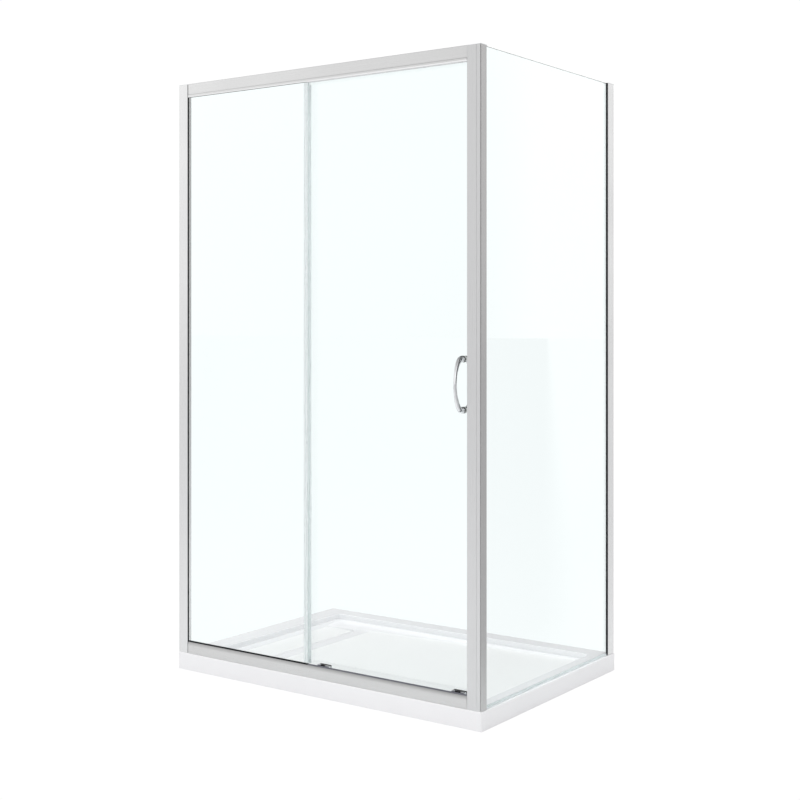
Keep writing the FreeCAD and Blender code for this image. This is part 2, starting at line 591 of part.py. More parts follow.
# ============================================================ sliding door
DOOR_Y1 = DOOR_Y0 + GLASS
BOLT_Z = 1902.0
LOW_HOLE_Z = 91.0
LOW_HOLE_DX = 15.5
door = pane(DOOR_X0, DOOR_X1, DOOR_Y0, DOOR_Y1, DOOR_Z0, DOOR_Z1)
holes = [(x, BOLT_Z, 6.0) for x in TOP_HANGERS]
holes += [(x + s * LOW_HOLE_DX, LOW_HOLE_Z, 3.5) for x in LOW_GUIDES for s in (-1, 1)]
holes += [(HANDLE_X, HANDLE_Z + s * HANDLE_PITCH / 2, 6.0) for s in (-1, 1)]
for x, z, r in holes:
    door = door.cut(cyl((x, DOOR_Y0 - 1, z), (0, 1, 0), r, GLASS + 2))
out("door_glass", door)


def door_left_seal():
    s = prism_z([
        (-67.2, DOOR_Y0 - 0.9, 0.5), (-46.7, DOOR_Y0 - 0.9, 0.4), (-46.7, DOOR_Y0), (DOOR_X0, DOOR_Y0), (DOOR_X0, DOOR_Y1),
        (-53.0, DOOR_Y1), (-53.0, DOOR_Y1 + 0.9, 0.4), (-67.2, DOOR_Y1 + 0.9, 0.5),
    ], 93.0, 1880.0)
    fin = prism_z([(-56.6, DOOR_Y0 - 0.5), (-55.6, DOOR_Y0 - 0.5), (-55.6, -381.2), (-54.0, -382.6, 0.3), (-54.7, -383.3, 0.3), (-56.6, -381.6)], 108.0, 1878.0)
    return s.fuse(fin).removeSplitter()


out("door_left_seal", door_left_seal())


def door_closing_seal():
    return prism_z([
        (553.0, DOOR_Y0 - 0.9, 0.4), (567.2, DOOR_Y0 - 0.9, 0.4), (572.9, DOOR_Y0 + 0.6, 1.2), (572.9, DOOR_Y1 - 0.6, 1.2),
        (567.2, DOOR_Y1 + 0.9, 0.4), (553.0, DOOR_Y1 + 0.9, 0.4), (553.0, DOOR_Y1), (DOOR_X1, DOOR_Y1), (DOOR_X1, DOOR_Y0), (553.0, DOOR_Y0),
    ], 80.0, 1886.0)


out("door_closing_seal", door_closing_seal())

# ---- handle: a bow outside and its twin inside, on two studs through the glass
WASHER_T = 0.8
ROSE_R = 9.5


ROSE_T = 10.0            # thickness of the round bosses
BOW_R = 5.0              # radius of the bow's middle


def make_bow():
    a = HANDLE_PITCH / 2
    # upper half of the bow's axis, (height above its middle, distance from the glass)
    reach = HANDLE_OUT - BOW_R
    ctrl = [(a, 4.0), (a + 6.2, 28.0), (34.2, reach), (0.0, reach)]
    half = []
    steps = 15
    for i in range(steps + 1):
        t = i / steps
        c = [(1 - t) ** 3, 3 * t * (1 - t) ** 2, 3 * t * t * (1 - t), t ** 3]
        d = [-3 * (1 - t) ** 2, 3 * (1 - t) ** 2 - 6 * t * (1 - t), 6 * t * (1 - t) - 3 * t * t, 3 * t * t]
        z, o = (sum(k * p[n] for k, p in zip(c, ctrl)) for n in (0, 1))
        dz, do = (sum(k * p[n] for k, p in zip(d, ctrl)) for n in (0, 1))
        half.append((z, o, dz, do, BOW_R + 3.3 * (abs(z) / a) ** 3))
    axis = half + [(-z, o, dz, -do, r) for z, o, dz, do, r in reversed(half[:-1])]
    wires = []
    for z, o, dz, do, r in axis:
        c = Part.Circle(V(0, 0, 0), V(0, 0, 1), r).toShape()
        # turned about X only, so that every section's seam lies on the same side
        c.Placement = FreeCAD.Placement(V(HANDLE_X, DOOR_Y0 - o, HANDLE_Z + z), FreeCAD.Rotation(V(1, 0, 0), math.degrees(math.atan2(do, dz))))
        wires.append(Part.Wire([c]))
    bow = Part.makeLoft(wires, True, False)
    for s in (-1, 1):
        z = HANDLE_Z + s * a
        y = DOOR_Y0 - WASHER_T
        rose = turned([(y, 0), (y, ROSE_R - 0.5), (y - 0.5, ROSE_R), (y - ROSE_T + 2.2, ROSE_R), (y - ROSE_T + 0.8, ROSE_R - 0.5), (y - ROSE_T, ROSE_R - 1.7), (y - ROSE_T, 0)], (HANDLE_X, z))
        bow = bow.fuse(rose)
    for s in (-1, 1):
        z = HANDLE_Z + s * a
        bow = bow.cut(cyl((HANDLE_X, DOOR_Y0, z), (0, -1, 0), 3.05, 7.0))
    return bow


bow = make_bow()
mid = DOOR_Y0 + GLASS / 2
bow_in = bow.mirror(V(0, mid, 0), V(0, 1, 0))
out("handle_outer", bow)
out("handle_inner", bow_in)
studs, washers, bushes = [], [], []
for s in (-1, 1):
    z = HANDLE_Z + s * HANDLE_PITCH / 2
    studs.append(cyl((HANDLE_X, mid - 9.6, z), (0, 1, 0), 3.0, 19.2))
    for y0 in (DOOR_Y0 - WASHER_T, DOOR_Y1):
        washers.append(cyl((HANDLE_X, y0, z), (0, 1, 0), ROSE_R + 0.4, WASHER_T).cut(cyl((HANDLE_X, y0 - 1, z), (0, 1, 0), 3.1, 4)))
    bushes.append(cyl((HANDLE_X, DOOR_Y0, z), (0, 1, 0), 5.9, GLASS).cut(cyl((HANDLE_X, DOOR_Y0 - 1, z), (0, 1, 0), 3.1, 8)))
out("handle_studs", *studs)
out("handle_washers", *washers)

# ---- upper hangers: plate with two grooved wheels in front of the glass,
# bolted through the glass to a round cap behind it
PLATE_Y0, PLATE_Y1 = -375.4, -373.4
plates, bolts, caps2, axles = [], [], [], []
wheel_n = 0


def wheel(centre, r_run, r_flange, r_bore):
    c = BEAD_Y
    y0, y1 = WHEEL_Y0, WHEEL_Y1
    prof = [(y0, r_bore), (y0, r_flange - 0.5), (y0 + 0.5, r_flange), (c - 2.0, r_flange), (c - 1.9, r_run), (c + 1.9, r_run), (c + 2.0, r_flange), (y1 - 0.5, r_flange), (y1, r_flange - 0.5), (y1, r_bore)]
    return turned(prof, centre)


for hx in TOP_HANGERS:
    h = HANGER_PITCH / 2
    p = prism_y([(hx - 34, 1893.0, 11.0), (hx + 34, 1893.0, 11.0), (hx + 34, 1917.5, 11.0), (hx - 34, 1917.5, 11.0)], PLATE_Y0, PLATE_Y1)
    p = p.cut(cyl((hx, PLATE_Y0 - 1, BOLT_Z), (0, 1, 0), 2.6, 5))
    for s in (-1, 1):
        p = p.cut(cyl((hx + s * h, PLATE_Y0 - 1, TOP_AXLE_Z), (0, 1, 0), 2.0, 5))
        ax = turned([(-383.6, 0), (-383.6, 3.4), (-383.2, 4.0), (-382.8, 4.0), (-382.8, 2.5), (PLATE_Y0, 2.5), (PLATE_Y0, 2.0), (PLATE_Y1, 2.0), (PLATE_Y1, 0)], (hx + s * h, TOP_AXLE_Z))
        axles.append(ax)
        wheel_n += 1
        out("top_wheel_%d" % wheel_n, wheel((hx + s * h, TOP_AXLE_Z), TOP_WHEEL_R, TOP_WHEEL_FLANGE, 7.0))
        out("top_bearing_%d" % wheel_n, turned([(-382.1, 2.55), (-382.1, 6.6), (-381.8, 7.0), (-377.2, 7.0), (-376.9, 6.6), (-376.9, 2.55)], (hx + s * h, TOP_AXLE_Z)))
    plates.append(p)
    bolts.append(turned([(-378.4, 0), (-378.4, 3.6), (-378.0, 4.2), (PLATE_Y0, 4.2), (PLATE_Y0, 2.5), (-363.6, 2.5), (-363.6, 0)], (hx, BOLT_Z)).cut(
        cyl((hx, -379.0, BOLT_Z), (0, 1, 0), 1.6, 2.2)))
    caps2.append(turned([(DOOR_Y1, 2.6), (DOOR_Y1, 10.5), (DOOR_Y1 + 0.6, 11.0), (DOOR_Y1 + 2.6, 11.0), (DOOR_Y1 + 4.4, 9.6), (DOOR_Y1 + 5.2, 6.5), (DOOR_Y1 + 5.2, 0), (DOOR_Y1 + 3.6, 0), (DOOR_Y1 + 3.6, 2.6)], (hx, BOLT_Z)))
    bushes.append(cyl((hx, DOOR_Y0, BOLT_Z), (0, 1, 0), 5.9, GLASS).cut(cyl((hx, DOOR_Y0 - 1, BOLT_Z), (0, 1, 0), 2.6, 8)))
out("top_hanger_plates", *plates)
out("top_wheel_axles", *axles)
out("top_hanger_bolts", *bolts)
out("top_hanger_caps", *caps2)
out("glass_bushes", *bushes)

# ---- lower guides: housing in front of the glass, a sprung slider in it that
# carries a grooved wheel held up under the lower ledge, and a button on top.
# Pressing the button lowers the wheel off its bead.
GB_Y0, GB_Y1 = -383.4, -373.2
GB_Z0, GB_Z1 = 85.0, 97.0
SL_Y0, SL_Y1 = -375.9, -373.9
BTN_Z0, BTN_Z1 = 96.5, 98.0   # plate of the button
SPRING_Z0 = 87.0
SPRING_Y = -379.0
SKIRT_Z0 = 92.4          # foot of the button's front skirt
housings, backs, gscrews = [], [], []
for i, gx in enumerate(LOW_GUIDES):
    side = ("left", "right")[i]
    b = prism_y([(gx - 23, GB_Z0, 2.0), (gx + 23, GB_Z0, 2.0), (gx + 23, GB_Z1, 4.0), (gx - 23, GB_Z1, 4.0)], GB_Y0, GB_Y1)
    front = [e for e in b.Edges if all(abs(v.Y - GB_Y0) < 1e-6 for v in e.Vertexes)]
    b = b.makeFillet(1.4, front)
    b = b.cut(box(gx - 7.3, gx + 7.3, SL_Y0 - 0.4, GB_Y1 + 1, GB_Z0 - 1, GB_Z1 + 1))
    b = b.cut(box(gx - 9.4, gx + 9.4, GB_Y0 - 1, GB_Y1 + 1, BTN_Z0 - RELEASE_TRAVEL - 0.4, GB_Z1 + 1))
    b = b.cut(box(gx - 9.4, gx + 9.4, GB_Y0 - 1, -382.0, SKIRT_Z0 - RELEASE_TRAVEL - 0.4, GB_Z1 + 1))
    b = b.cut(cyl((gx, SPRING_Y, SPRING_Z0), (0, 0, 1), 2.35, 20))
    for s in (-1, 1):
        b = b.cut(cyl((gx + s * LOW_HOLE_DX, GB_Y1 - 7.0, LOW_HOLE_Z), (0, 1, 0), 2.05, 10))
    housings.append(b)
    pl = prism_y([(gx - 23, GB_Z0, 3.0), (gx + 23, GB_Z0, 3.0), (gx + 23, GB_Z1, 3.0), (gx - 23, GB_Z1, 3.0)], DOOR_Y1, DOOR_Y1 + 2.6)
    e = [e for e in pl.Edges if all(abs(v.Y - DOOR_Y1 - 2.6) < 1e-6 for v in e.Vertexes)]
    pl = pl.makeFillet(0.9, e)
    for s in (-1, 1):
        pl = pl.cut(cyl((gx + s * LOW_HOLE_DX, DOOR_Y1 - 1, LOW_HOLE_Z), (0, 1, 0), 2.2, 6))
        sc = turned([(GB_Y1 - 6.6, 0), (GB_Y1 - 6.6, 2.0), (DOOR_Y1 + 2.6, 2.0), (DOOR_Y1 + 2.6, 3.6), (DOOR_Y1 + 3.6, 3.4), (DOOR_Y1 + 4.3, 2.2), (DOOR_Y1 + 4.3, 0)], (gx + s * LOW_HOLE_DX, LOW_HOLE_Z))
        sc = sc.cut(box(gx + s * LOW_HOLE_DX - 0.35, gx + s * LOW_HOLE_DX + 0.35, DOOR_Y1 + 3.5, DOOR_Y1 + 5, LOW_HOLE_Z - 1.9, LOW_HOLE_Z + 1.9))
        sc = sc.cut(box(gx + s * LOW_HOLE_DX - 1.9, gx + s * LOW_HOLE_DX + 1.9, DOOR_Y1 + 3.5, DOOR_Y1 + 5, LOW_HOLE_Z - 0.35, LOW_HOLE_Z + 0.35))
        gscrews.append(sc)
    backs.append(pl)
    # slider: plate, shoulder, button head and wheel pin in one casting
    sl = box(gx - 7.0, gx + 7.0, SL_Y0, SL_Y1, 66.5, BTN_Z1 - 1.0)
    sl = sl.fuse(prism_y([(gx - 9.4, 80.0, 1.0), (gx + 9.4, 80.0, 1.0), (gx + 9.4, 84.6, 1.0), (gx - 9.4, 84.6, 1.0)], SL_Y0, SL_Y1))
    sl = sl.fuse(cyl((gx, SL_Y0, LOW_AXLE_Z), (0, 1, 0), 7.0, SL_Y1 - SL_Y0))
    btn = box(gx - 9.0, gx + 9.0, -383.3, SL_Y1, SKIRT_Z0, BTN_Z1)
    te = [e for e in btn.Edges if all(abs(v.Z - BTN_Z1) < 1e-6 for v in e.Vertexes)]
    btn = btn.makeFillet(0.7, te)
    btn = btn.cut(box(gx - 10, gx + 10, -382.3, SL_Y1 + 1, SKIRT_Z0 - 1, BTN_Z0))
    sl = sl.fuse(btn)
    pin = turned([(-383.6, 0), (-383.6, 2.8), (-383.2, 3.2), (-382.8, 3.2), (-382.8, 2.0), (SL_Y0 + 0.5, 2.0), (SL_Y0 + 0.5, 0)], (gx, LOW_AXLE_Z))
    sl = sl.fuse(pin).removeSplitter()
    out("release_slider_" + side, sl)
    out("lower_wheel_" + side, wheel((gx, LOW_AXLE_Z), LOW_WHEEL_R, LOW_WHEEL_FLANGE, 2.05))
    # return spring: round wire coil under the button
    turns, wr, mr = 5.0, 0.28, 1.8
    h0, h1 = SPRING_Z0 + wr + 0.05, BTN_Z0 - wr - 0.05
    helix = Part.makeHelix((h1 - h0) / turns, h1 - h0, mr)
    helix.translate(V(gx, SPRING_Y, h0))
    start = helix.Edges[0].valueAt(helix.Edges[0].FirstParameter)
    tan = helix.Edges[0].tangentAt(helix.Edges[0].FirstParameter)
    prof = Part.Wire([Part.Circle(start, tan, wr).toShape()])
    spring = Part.Wire(helix.Edges).makePipeShell([prof], True, True)
    out("lower_spring_" + side, spring)
out("lower_guide_housings", *housings)
out("lower_guide_back_plates", *backs)
out("lower_guide_screws", *gscrews)
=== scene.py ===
import math

import bmesh
import bpy
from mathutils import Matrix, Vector


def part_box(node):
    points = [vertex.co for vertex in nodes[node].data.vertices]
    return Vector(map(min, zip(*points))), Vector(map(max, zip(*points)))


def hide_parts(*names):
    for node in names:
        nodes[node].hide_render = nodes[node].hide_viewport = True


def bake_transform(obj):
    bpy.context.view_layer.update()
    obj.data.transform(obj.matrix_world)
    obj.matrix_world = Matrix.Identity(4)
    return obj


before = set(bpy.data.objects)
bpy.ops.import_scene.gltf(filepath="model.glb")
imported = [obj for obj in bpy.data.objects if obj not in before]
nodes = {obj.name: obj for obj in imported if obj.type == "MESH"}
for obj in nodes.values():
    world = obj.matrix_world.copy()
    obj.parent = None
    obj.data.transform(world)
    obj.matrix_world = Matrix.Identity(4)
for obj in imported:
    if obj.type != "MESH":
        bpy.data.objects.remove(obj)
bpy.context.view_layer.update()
scene = bpy.context.scene
scene.view_settings.view_transform = "Standard"
scene.view_settings.look = "None"
scene.view_settings.exposure = 0.0
scene.view_settings.gamma = 1.0

# ------------------------------------------------------------------- camera
cam_data = bpy.data.cameras.new("camera")
cam = bpy.data.objects.new("camera", cam_data)
scene.collection.objects.link(cam)
scene.camera = cam
cam_data.sensor_width = 36.0
cam_data.lens = 59.5076
cam_data.shift_x = -0.06462
cam_data.shift_y = -0.10274
cam.rotation_mode = "XYZ"
cam.rotation_euler = (math.radians(90.0), 0.0, math.radians(34.559))
cam.location = (2.629316, -3.493233, 1.159975)
cam_data.clip_start = 0.05
cam_data.clip_end = 200.0


# ------------------------------------------------------- shader-node helpers
class Tree:
    """Small wrapper that adds and links nodes of one material."""

    def __init__(self, name, world=False):
        if world:
            self.owner = bpy.data.worlds.new(name)
        else:
            self.owner = bpy.data.materials.new(name)
        self.owner.use_nodes = True
        self.nt = self.owner.node_tree
        self.nt.nodes.clear()
        self.column = 0

    def add(self, kind, **props):
        n = self.nt.nodes.new(kind)
        n.location = (-220 * (self.column % 9), -180 * (self.column // 9))
        self.column += 1
        for k, v in props.items():
            setattr(n, k, v)
        return n

    def link(self, a, b):
        self.nt.links.new(a, b)

    def put(self, socket, value):
        if value is None:
            return
        if hasattr(value, "node"):
            self.link(value, socket)
        else:
            socket.default_value = value

    def coords(self, scale=(1, 1, 1), kind="Object", offset=(0, 0, 0)):
        tc = self.add("ShaderNodeTexCoord")
        mp = self.add("ShaderNodeMapping")
        mp.inputs["Scale"].default_value = scale
        mp.inputs["Location"].default_value = offset
        self.link(tc.outputs[kind], mp.inputs["Vector"])
        return mp.outputs["Vector"]

    def xyz(self):
        tc = self.add("ShaderNodeTexCoord")
        s = self.add("ShaderNodeSeparateXYZ")
        self.link(tc.outputs["Object"], s.inputs[0])
        return s.outputs[0], s.outputs[1], s.outputs[2]

    def noise(self, vec, scale, detail=3.0, rough=0.5, distortion=0.0):
        n = self.add("ShaderNodeTexNoise")
        self.link(vec, n.inputs["Vector"])
        n.inputs["Scale"].default_value = scale
        n.inputs["Detail"].default_value = detail
        n.inputs["Roughness"].default_value = rough
        n.inputs["Distortion"].default_value = distortion
        return n.outputs["Fac"]

    def voronoi(self, vec, scale, feature="F1", out="Distance", smooth=None):
        n = self.add("ShaderNodeTexVoronoi", feature=feature)
        self.link(vec, n.inputs["Vector"])
        n.inputs["Scale"].default_value = scale
        if smooth is not None and "Smoothness" in n.inputs:
            n.inputs["Smoothness"].default_value = smooth
        return n.outputs[out]

    def math(self, op, a, b=None, c=None, clamp=False):
        n = self.add("ShaderNodeMath", operation=op, use_clamp=clamp)
        self.put(n.inputs[0], a)
        if b is not None:
            self.put(n.inputs[1], b)
        if c is not None:
            self.put(n.inputs[2], c)
        return n.outputs[0]

    def spread(self, v, a0, a1, b0, b1, smooth=False):
        n = self.add("ShaderNodeMapRange", interpolation_type="SMOOTHSTEP" if smooth else "LINEAR", clamp=True)
        self.link(v, n.inputs["Value"])
        n.inputs["From Min"].default_value = a0
        n.inputs["From Max"].default_value = a1
        n.inputs["To Min"].default_value = b0
        n.inputs["To Max"].default_value = b1
        return n.outputs["Result"]

    def mix(self, fac, a, b, blend="MIX"):
        n = self.add("ShaderNodeMix", data_type="RGBA", blend_type=blend)
        self.put(n.inputs[0], fac)
        for i, v in ((6, a), (7, b)):
            if hasattr(v, "node"):
                self.link(v, n.inputs[i])
            else:
                n.inputs[i].default_value = (*v, 1.0) if len(v) == 3 else v
        return n.outputs[2]

    def ramp(self, fac, stops, interpolation="LINEAR"):
        n = self.add("ShaderNodeValToRGB")
        n.color_ramp.interpolation = interpolation
        els = n.color_ramp.elements
        while len(els) > 1:
            els.remove(els[-1])
        els[0].position = stops[0][0]
        els[0].color = (*stops[0][1], 1.0)
        for p, c in stops[1:]:
            e = els.new(p)
            e.color = (*c, 1.0)
        self.link(fac, n.inputs["Fac"])
        return n.outputs["Color"]

    def bump(self, height, distance, strength=1.0, normal=None):
        n = self.add("ShaderNodeBump")
        n.inputs["Strength"].default_value = strength
        n.inputs["Distance"].default_value = distance
        self.link(height, n.inputs["Height"])
        if normal is not None:
            self.link(normal, n.inputs["Normal"])
        return n.outputs["Normal"]

    def principled(self, **sockets):
        p = self.add("ShaderNodeBsdfPrincipled")
        for k, v in sockets.items():
            name = k.replace("_", " ")
            s = p.inputs[name]
            if hasattr(v, "node"):
                self.link(v, s)
            elif isinstance(v, tuple) and len(v) == 3 and s.type == "RGBA":
                s.default_value = (*v, 1.0)
            else:
                s.default_value = v
        return p.outputs["BSDF"]

    def output(self, shader):
        o = self.add("ShaderNodeOutputWorld" if isinstance(self.owner, bpy.types.World) else "ShaderNodeOutputMaterial")
        self.link(shader, o.inputs["Surface"])
        return self.owner


# ---------------------------------------------------------------- materials
def aluminium(name, scale, tone=(0.665, 0.666, 0.67), rough=0.30, painted_band=None):
    """Satin anodised aluminium: fine lines along the extrusion, which scale
    stretches, over a faint long-wave change of tone.  painted_band (z0, z1, tone):
    painted light and shade, the colour changes to that tone between the two heights,
    a painted highlight or painted shade along one lip of a rail."""
    t = Tree(name)
    v = t.coords(scale)
    lines = t.noise(v, 1.0, 4.0, 0.62)
    fine = t.noise(v, 3.1, 2.0, 0.5)
    cloud = t.noise(t.coords((1, 1, 1)), 5.0, 2.0, 0.5)
    base = t.mix(t.spread(lines, 0.32, 0.68, 0.0, 1.0), tuple(c * 0.955 for c in tone), tuple(min(1, c * 1.03) for c in tone))
    base = t.mix(t.spread(cloud, 0.35, 0.65, 0.0, 0.15), base, tuple(c * 0.93 for c in tone))
    # painted light and shade: a lighter or darker band of colour along one edge of the rail stands in for the highlight
    # or shade a curved lip catches
    if painted_band:
        z0, z1, painted_tone = painted_band
        painted_mask = t.spread(t.xyz()[2], z0, z1, 0.0, 1.0)
        base = t.mix(painted_mask, base, t.mix(t.spread(lines, 0.32, 0.68, 0.0, 1.0), tuple(c * 0.97 for c in painted_tone), painted_tone))
    r = t.math("ADD", t.spread(fine, 0.3, 0.7, rough - 0.05, rough + 0.06), t.spread(cloud, 0.3, 0.7, -0.02, 0.02))
    n = t.bump(t.math("ADD", lines, t.math("MULTIPLY", fine, 0.5)), 0.00002, 0.6)
    return t.output(t.principled(Base_Color=base, Metallic=1.0, Roughness=r, Normal=n))


def chrome(name, shade_band=None):
    """Polished chrome plate with the faint orange-peel and haze of real plating. Between the two given depths it is
    painted near-black: painted shade for the dark gap where the rose meets the pane.
    """
    t = Tree(name)
    v = t.coords()
    peel = t.noise(v, 260.0, 2.0, 0.4)
    haze = t.noise(v, 42.0, 3.0, 0.6)
    base = t.mix(t.spread(haze, 0.35, 0.7, 0.0, 1.0), (0.80, 0.81, 0.825), (0.71, 0.72, 0.74))
    r = t.spread(haze, 0.3, 0.75, 0.045, 0.11)
    # painted shade: a near-black band round the rose, next to the pane, stands in for the gap shadow there
    if shade_band:
        y = t.xyz()[1]
        painted_mask = t.math("MULTIPLY", t.spread(y, shade_band[0] - 0.0002, shade_band[0] + 0.0002, 0.0, 1.0), t.spread(y, shade_band[1] - 0.0002, shade_band[1] + 0.0002, 1.0, 0.0))
        base = t.mix(painted_mask, base, (0.045, 0.05, 0.052))
    return t.output(t.principled(Base_Color=base, Metallic=1.0, Roughness=r, Normal=t.bump(peel, 0.00003, 0.25)))


def steel(name):
    """Plain stainless: turned and stamped parts."""
    t = Tree(name)
    v = t.coords((1, 1, 1))
    grain = t.noise(v, 900.0, 3.0, 0.6)
    cloud = t.noise(v, 120.0, 2.0, 0.5)
    base = t.mix(t.spread(grain, 0.35, 0.65, 0.0, 1.0), (0.56, 0.56, 0.57), (0.68, 0.68, 0.69))
    r = t.spread(cloud, 0.3, 0.7, 0.24, 0.40)
    return t.output(t.principled(Base_Color=base, Metallic=1.0, Roughness=r, Normal=t.bump(grain, 0.00002, 0.5)))


def moulded(name, low, high, rough, grain_scale=700.0, grain=0.00004, spec=0.5):
    """Moulded plastic with a fine eroded texture and slight tone changes."""
    t = Tree(name)
    v = t.coords()
    g = t.noise(v, grain_scale, 4.0, 0.65)
    c = t.noise(v, 38.0, 2.0, 0.5)
    base = t.mix(t.spread(c, 0.3, 0.7, 0.0, 1.0), low, high)
    r = t.spread(g, 0.3, 0.7, rough - 0.06, rough + 0.08)
    return t.output(t.principled(Base_Color=base, Roughness=r, Specular_IOR_Level=spec, Normal=t.bump(g, grain, 0.7)))


def rubber(name, low, high, scale=(1, 1, 1)):
    """Extruded rubber: matt, with faint drawing lines and a dusting of bloom."""
    t = Tree(name)
    v = t.coords(scale)
    lines = t.noise(v, 1.0, 3.0, 0.6)
    bloom = t.noise(t.coords(), 90.0, 4.0, 0.6)
    base = t.mix(t.spread(bloom, 0.45, 0.75, 0.0, 1.0), low, high)
    r = t.spread(bloom, 0.3, 0.7, 0.52, 0.70)
    return t.output(t.principled(Base_Color=base, Roughness=r, Specular_IOR_Level=0.12, Normal=t.bump(lines, 0.00005, 0.7)))


def let_lamps_through(t, shader, tint):
    """Lamps and soft bounced light reach what stands behind clear parts."""
    lp = t.add("ShaderNodeLightPath")
    clear = t.add("ShaderNodeBsdfTransparent")
    clear.inputs["Color"].default_value = (*tint, 1.0)
    m = t.add("ShaderNodeMixShader")
    t.link(t.math("MAXIMUM", lp.outputs["Is Shadow Ray"], lp.outputs["Is Diffuse Ray"]), m.inputs[0])
    t.link(shader, m.inputs[1])
    t.link(clear.outputs[0], m.inputs[2])
    return m.outputs[0]


def glass(name, node, tint, edge):
    """Clear toughened pane: nearly neutral through its faces, green within
    the ground edges."""
    lo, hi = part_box(node)
    t = Tree(name)
    axes = t.xyz()
    size = hi - lo
    d = None
    for i in range(3):
        if size[i] < 0.02:
            continue
        a = t.math("SUBTRACT", axes[i], lo[i])
        b = t.math("SUBTRACT", hi[i], axes[i])
        m = t.math("MINIMUM", a, b)
        d = m if d is None else t.math("MINIMUM", d, m)
    rim = t.spread(d, 0.0004, 0.0014, 1.0, 0.0, True)
    v = t.coords()
    wave = t.noise(v, 2.2, 1.0, 0.4)
    ground = t.noise(v, 900.0, 3.0, 0.6)
    tone = t.mix(t.spread(wave, 0.3, 0.7, 0.0, 1.0), tint, tuple(min(1.0, c + 0.006) for c in tint))
    base = t.mix(rim, tone, edge)
    r = t.math("MULTIPLY", rim, t.spread(ground, 0.3, 0.7, 0.12, 0.3))
    n = t.bump(t.math("ADD", wave, t.math("MULTIPLY", t.math("MULTIPLY", ground, rim), 0.02)), 0.0004, 0.25)
    p = t.principled(Base_Color=base, Roughness=r, IOR=1.5, Transmission_Weight=1.0, Specular_IOR_Level=0.35, Normal=n)
    return t.output(let_lamps_through(t, p, (0.97, 0.99, 0.99)))


def soft_clear(name, low, high, through, scale):
    """Milky clear soft PVC, drawn along its length."""
    t = Tree(name)
    lines = t.noise(t.coords(scale), 1.0, 3.0, 0.6)
    cloud = t.noise(t.coords(), 25.0, 3.0, 0.55)
    base = t.mix(t.spread(cloud, 0.3, 0.7, 0.0, 1.0), low, high)
    r = t.spread(lines, 0.3, 0.7, 0.22, 0.38)
    p = t.principled(Base_Color=base, Roughness=r, IOR=1.3, Transmission_Weight=through, Normal=t.bump(lines, 0.00006, 0.6))
    return t.output(let_lamps_through(t, p, (0.93, 0.95, 0.95)))


def sanitary(name, cover=False):
    """White gloss sanitary surface.  The standing floor has a fine non-slip
    grain; the rim, flanks and underside are smooth."""
    t = Tree(name)
    x, y, z = t.xyz()
    v = t.coords()
    if cover:
        lo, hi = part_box("drain_cover")
        a = t.math("MINIMUM", t.math("SUBTRACT", x, lo.x), t.math("SUBTRACT", hi.x, x))
        b = t.math("MINIMUM", t.math("SUBTRACT", y, lo.y), t.math("SUBTRACT", hi.y, y))
        d = t.math("SMOOTH_MIN", a, b, 0.012)
        mask = t.spread(d, 0.0025, 0.0045, 0.0, 1.0, True)
    else:
        lim = t.math("MULTIPLY_ADD", t.math("ADD", x, 0.312), 0.06854, 0.270)
        side = t.math("SUBTRACT", lim, t.math("ABSOLUTE", y))
        ends = t.math("MINIMUM", t.math("ADD", x, 0.312), t.math("SUBTRACT", 0.503, x))
        d = t.math("SMOOTH_MIN", side, ends, 0.045)
        mask = t.spread(d, 0.0, 0.003, 0.0, 1.0, True)
        above = t.spread(z, 0.026, 0.029, 0.0, 1.0)
        below = t.spread(z, 0.0385, 0.0395, 1.0, 0.0)
        mask = t.math("MULTIPLY", t.math("MULTIPLY", mask, above), below)
    # grain: rounded pebbles 2 to 4 mm across, uneven in height
    warp = t.noise(v, 60.0, 2.0, 0.5)
    peb = t.voronoi(v, 330.0, "SMOOTH_F1", smooth=0.35)
    fine = t.noise(v, 720.0, 3.0, 0.6)
    grain = t.math("MULTIPLY", t.math("SUBTRACT", t.math("MULTIPLY", fine, 0.55), peb), t.spread(warp, 0.3, 0.7, 0.7, 1.15))
    peel = t.noise(v, 55.0, 2.0, 0.45)
    cloud = t.noise(v, 6.0, 2.0, 0.5)
    # painted light: the grained floor is coloured lighter than the smooth rim, making up for the shade and glass losses
    # inside the enclosure; painted shade: it is a little darker in the hollows between the pebbles
    smooth = t.mix(t.spread(cloud, 0.3, 0.7, 0.0, 1.0), (0.865, 0.86, 0.872), (0.88, 0.876, 0.886))
    rough = t.mix(t.spread(peb, 0.15, 0.6, 0.0, 1.0), (0.905, 0.908, 0.90), (0.875, 0.88, 0.872))
    base = t.mix(mask, smooth, rough)
    r = t.math("ADD", t.spread(peel, 0.3, 0.7, 0.13, 0.19), t.math("MULTIPLY", mask, 0.26))
    n0 = t.bump(peel, 0.00012, 0.25)
    n1 = t.bump(t.math("MULTIPLY", grain, mask), 0.0006, 0.8, n0)
    return t.output(t.principled(Base_Color=base, Roughness=r, Normal=n1, Coat_Weight=0.25, Coat_Roughness=0.08))


M = {}
M["alu_up"] = aluminium("satin_aluminium_upright", (1700, 1700, 1.2))
# painted shade and painted light: the side profile gets a darker copy (0.53) and the jambs a lighter copy (0.742) of
# the same aluminium, standing in for how light falls on them
M["alu_shaded_copy"] = aluminium("satin_aluminium_corner_painted_shade", (1700, 1700, 1.2), (0.53, 0.526, 0.526), 0.22)
M["alu_lit_copy"] = aluminium("satin_aluminium_jamb_painted_light", (1700, 1700, 1.2), (0.742, 0.742, 0.743), 0.24)
# painted highlight: below z 1.8882 m the top rail's lower lip is coloured much lighter (0.92) than the rest of the rail
M["alu_top"] = aluminium("satin_aluminium_top_rail_painted_highlight", (1.2, 1700, 1700), (0.70, 0.70, 0.70), 0.28, (1.8895, 1.8882, (0.92, 0.92, 0.92)))
